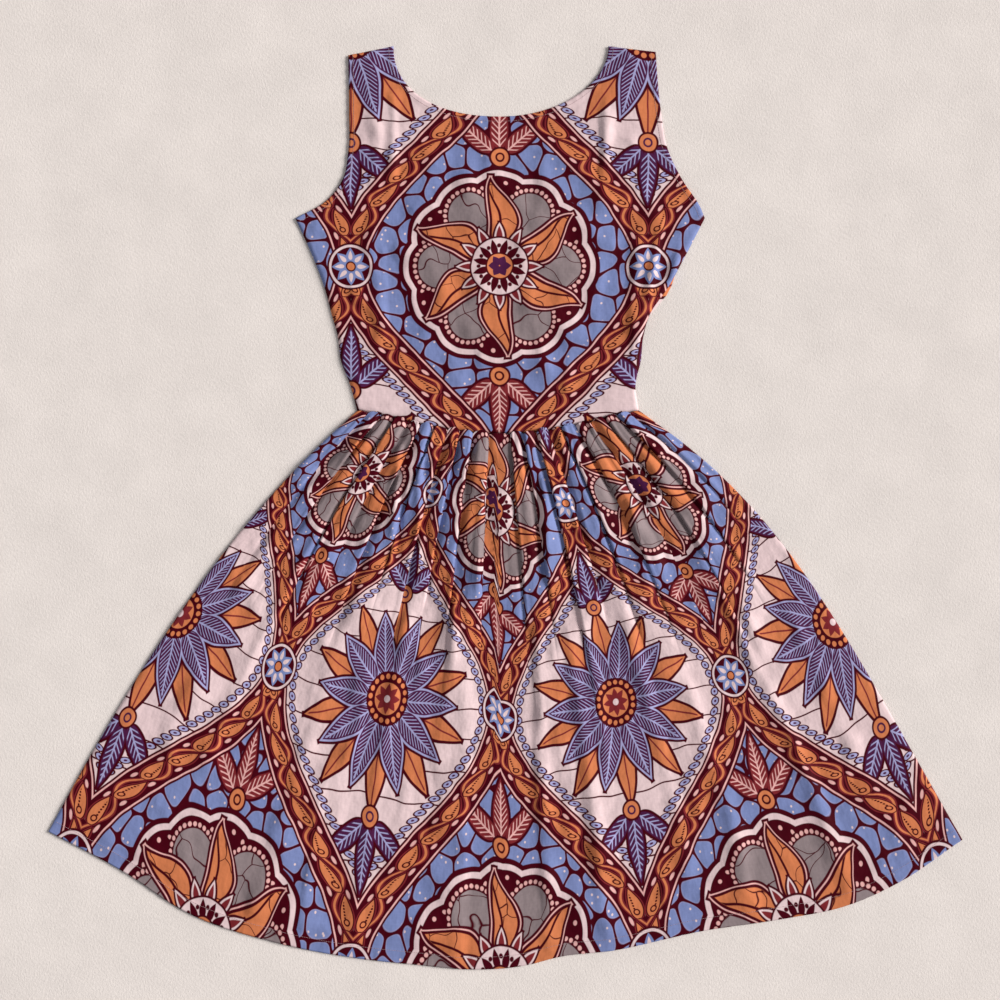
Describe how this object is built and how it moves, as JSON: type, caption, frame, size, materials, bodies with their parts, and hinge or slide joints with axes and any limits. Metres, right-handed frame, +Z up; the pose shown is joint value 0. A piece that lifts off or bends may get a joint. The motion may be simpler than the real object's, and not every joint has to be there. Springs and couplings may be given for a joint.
{
  "type": "sleeveless wax print dress with a gathered skirt",
  "caption": "Sleeveless dress laid flat: fitted bodice with a scooped neck, sewn at the waist to a gathered, flared skirt.",
  "frame": {"origin": "middle of the dress's outline, on the surface that it lies on", "axes": "+Y towards the neck, +X towards the dress's left side as worn, +Z up out of its front"},
  "size_m": [0.9606, 0.9706, 0.0105],
  "materials": {
    "wax_print_cotton": "printed plain-weave cotton with a faint waxy sheen",
    "zip_tape": "woven nylon tape",
    "zip_slider": "enamelled"
  },
  "bodies": {
    "root": {"front_bodice": "wax_print_cotton", "back_bodice_right": "wax_print_cotton", "back_bodice_left": "wax_print_cotton", "front_skirt": "wax_print_cotton", "back_skirt_right": "wax_print_cotton", "back_skirt_left": "wax_print_cotton", "back_zip": "zip_tape", "zip_slider": "zip_slider"}
  },
  "joints": []
}
